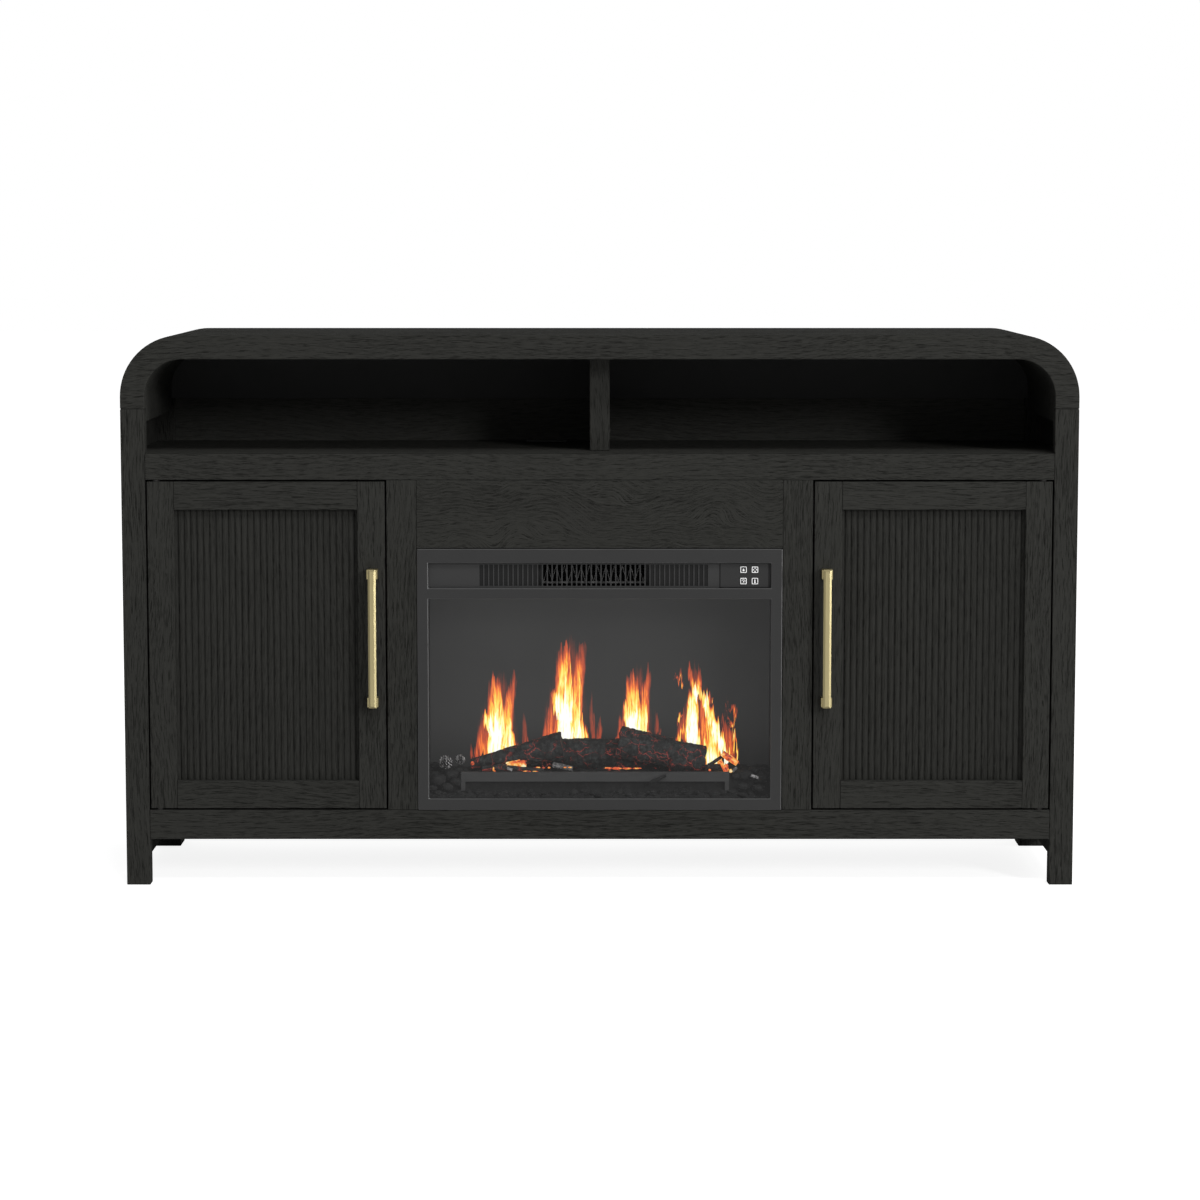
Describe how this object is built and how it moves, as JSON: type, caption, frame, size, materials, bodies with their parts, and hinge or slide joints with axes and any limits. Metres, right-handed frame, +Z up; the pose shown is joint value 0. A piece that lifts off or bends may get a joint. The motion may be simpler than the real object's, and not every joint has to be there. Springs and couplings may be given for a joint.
{
  "type": "fireplace cabinet",
  "caption": "Low black oak media cabinet with a bent, round-cornered top, open compartments, reeded doors with brass bar pulls, and an electric fire set in the middle.",
  "frame": {"origin": "on the floor, under the middle of the whole object, pulls included", "axes": "+Z up, -Y out of the front, +X to the viewer's right as seen from the front"},
  "size_m": [1.524, 0.432, 0.884],
  "materials": {
    "oak": "black stained open-grain oak veneer, satin",
    "brass": "brushed",
    "grey_metal": "dark grey powder coat",
    "black_metal": "matt black",
    "fire_glass": "clear, lightly tinted",
    "control_plastic": "dark grey",
    "key_plastic": "dark grey with a white symbol",
    "black_plastic": "black",
    "steel": "zinc plated",
    "log_resin": "charred log, moulded resin",
    "ember_resin": "dark coals, moulded resin",
    "screen": "smoked translucent",
    "heater_wire": "bare resistance ribbon"
  },
  "bodies": {
    "cabinet": {"top_shell": "oak", "left_front_post": "oak", "right_front_post": "oak", "left_rear_post": "oak", "right_rear_post": "oak", "left_side_panel": "oak", "right_side_panel": "oak", "media_shelf": "oak", "cubby_divider": "oak", "upper_back": "oak", "lower_back": "oak", "top_rail": "oak", "bottom_rail": "oak", "left_centre_stile": "oak", "right_centre_stile": "oak", "centre_panel": "oak", "bottom_board": "oak", "left_partition": "oak", "right_partition": "oak", "left_loose_shelf": "oak", "right_loose_shelf": "oak", "cable_cover": "black_plastic", "left_pivot_bottom": "steel", "left_pivot_top": "steel", "left_catch": "black_plastic", "right_pivot_bottom": "steel", "right_pivot_top": "steel", "right_catch": "black_plastic", "bezel": "grey_metal", "glass": "fire_glass", "vent_grille": "grey_metal", "control_plate": "control_plastic", "fire_case": "black_metal", "flame_screen": "screen", "ember_bed": "ember_resin", "log_set": "log_resin", "grate": "black_metal", "rotor_motor": "black_plastic", "blower_motor": "black_plastic", "heater_element": "heater_wire"},
    "left_door": {"left_door_latch_stile": "oak", "left_door_hinge_stile": "oak", "left_door_top_rail": "oak", "left_door_bottom_rail": "oak", "left_door_panel": "oak", "left_door_pull": "brass", "left_door_strike": "steel"},
    "right_door": {"right_door_latch_stile": "oak", "right_door_hinge_stile": "oak", "right_door_top_rail": "oak", "right_door_bottom_rail": "oak", "right_door_panel": "oak", "right_door_pull": "brass", "right_door_strike": "steel"},
    "top_left_key": {"key_top_left": "key_plastic"},
    "top_right_key": {"key_top_right": "key_plastic"},
    "bottom_left_key": {"key_bottom_left": "key_plastic"},
    "bottom_right_key": {"key_bottom_right": "key_plastic"},
    "rotor": {"flame_rotor": "steel"},
    "blower": {"blower_wheel": "steel"}
  },
  "joints": [
    {"name": "left_door_swing", "type": "hinge", "parent": "cabinet", "child": "left_door", "pos_m": [-0.7073, -0.176, 0.388], "axis": [0, 0, -1], "range_deg": [0, 110]},
    {"name": "right_door_swing", "type": "hinge", "parent": "cabinet", "child": "right_door", "pos_m": [0.7073, -0.176, 0.388], "axis": [0, 0, 1], "range_deg": [0, 110]},
    {"name": "top_left_key_press", "type": "slide", "parent": "cabinet", "child": "top_left_key", "axis": [0, 1, 0], "range_m": [0, 0.0008], "stiffness_N_per_m": 150, "springref_m": -0.004},
    {"name": "top_right_key_press", "type": "slide", "parent": "cabinet", "child": "top_right_key", "axis": [0, 1, 0], "range_m": [0, 0.0008], "stiffness_N_per_m": 150, "springref_m": -0.004},
    {"name": "bottom_left_key_press", "type": "slide", "parent": "cabinet", "child": "bottom_left_key", "axis": [0, 1, 0], "range_m": [0, 0.0008], "stiffness_N_per_m": 150, "springref_m": -0.004},
    {"name": "bottom_right_key_press", "type": "slide", "parent": "cabinet", "child": "bottom_right_key", "axis": [0, 1, 0], "range_m": [0, 0.0008], "stiffness_N_per_m": 150, "springref_m": -0.004},
    {"name": "flame_rotor_spin", "type": "hinge", "parent": "cabinet", "child": "rotor", "pos_m": [0, -0.0287, 0.2018], "axis": [1, 0, 0], "continuous": true},
    {"name": "blower_spin", "type": "hinge", "parent": "cabinet", "child": "blower", "pos_m": [0, -0.0987, 0.50085], "axis": [1, 0, 0], "continuous": true}
  ]
}
